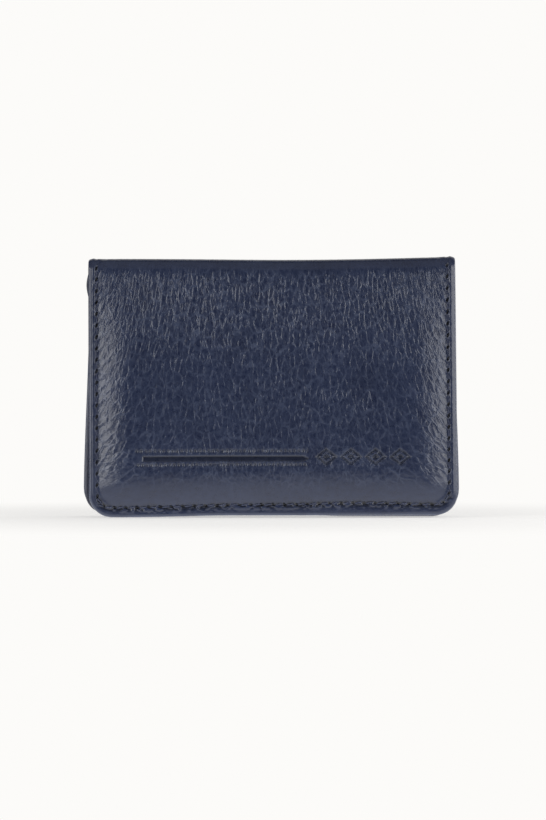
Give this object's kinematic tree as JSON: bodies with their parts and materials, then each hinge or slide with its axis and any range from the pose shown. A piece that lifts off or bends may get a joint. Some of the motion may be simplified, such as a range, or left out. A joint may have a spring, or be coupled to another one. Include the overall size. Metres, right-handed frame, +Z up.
{
  "type": "card holder",
  "caption": "Leather card holder with a padded flap that folds over a bellows pocket and is held shut by hidden magnets.",
  "frame": {"origin": "centre of the footprint that the closed holder stands on", "axes": "+X along the fold, to the right as the flap is faced; -Y the way the flap faces; +Z up, from the foot to the fold"},
  "size_m": [0.1064, 0.0178, 0.074],
  "materials": {
    "leather": "pebbled full-grain cowhide, satin",
    "inner_leather": "smooth split leather, matte",
    "lining": "twill weave",
    "thread": "waxed twisted polyester",
    "board": "bonded fibreboard",
    "foam": "open-cell foam",
    "magnet": "nickel-plated"
  },
  "bodies": {
    "case": {"back_cover": "leather", "back_board": "board", "back_thread": "thread", "back_lining": "lining", "gusset_left": "inner_leather", "gusset_right": "inner_leather", "gusset_bottom": "inner_leather"},
    "pocket": {"pocket_lining": "lining", "pocket_board": "board", "pocket_front": "inner_leather", "pocket_thread": "thread", "mouth_thread": "thread", "pocket_magnet_left": "magnet", "pocket_magnet_right": "magnet"},
    "spine": {"spine_cover": "leather", "spine_lining": "lining"},
    "flap": {"flap_cover": "leather", "flap_thread": "thread", "flap_lining": "lining", "flap_slot_upper": "inner_leather", "flap_slot_lower": "inner_leather", "flap_foam": "foam", "flap_magnet_left": "magnet", "flap_magnet_right": "magnet"}
  },
  "joints": [
    {"name": "spine_fold", "type": "hinge", "parent": "case", "child": "spine", "pos_m": [0, 0.00725, 0.07325], "axis": [-1, 0, 0], "range_deg": [0, 90]},
    {"name": "flap_fold", "type": "hinge", "parent": "spine", "child": "flap", "pos_m": [0, -0.00595, 0.07325], "axis": [-1, 0, 0], "range_deg": [0, 90]},
    {"name": "pocket_open", "type": "hinge", "parent": "case", "child": "pocket", "pos_m": [0, 0.0004, 0.0007], "axis": [1, 0, 0], "range_deg": [0, 9], "deforming": ["gusset_left", "gusset_right"]}
  ],
  "couplings": [
    {"joint": "spine_fold", "follows": "flap_fold", "ratio": 1},
    {"joint": "pocket_open", "follows": "flap_fold", "ratio": 0.1}
  ]
}
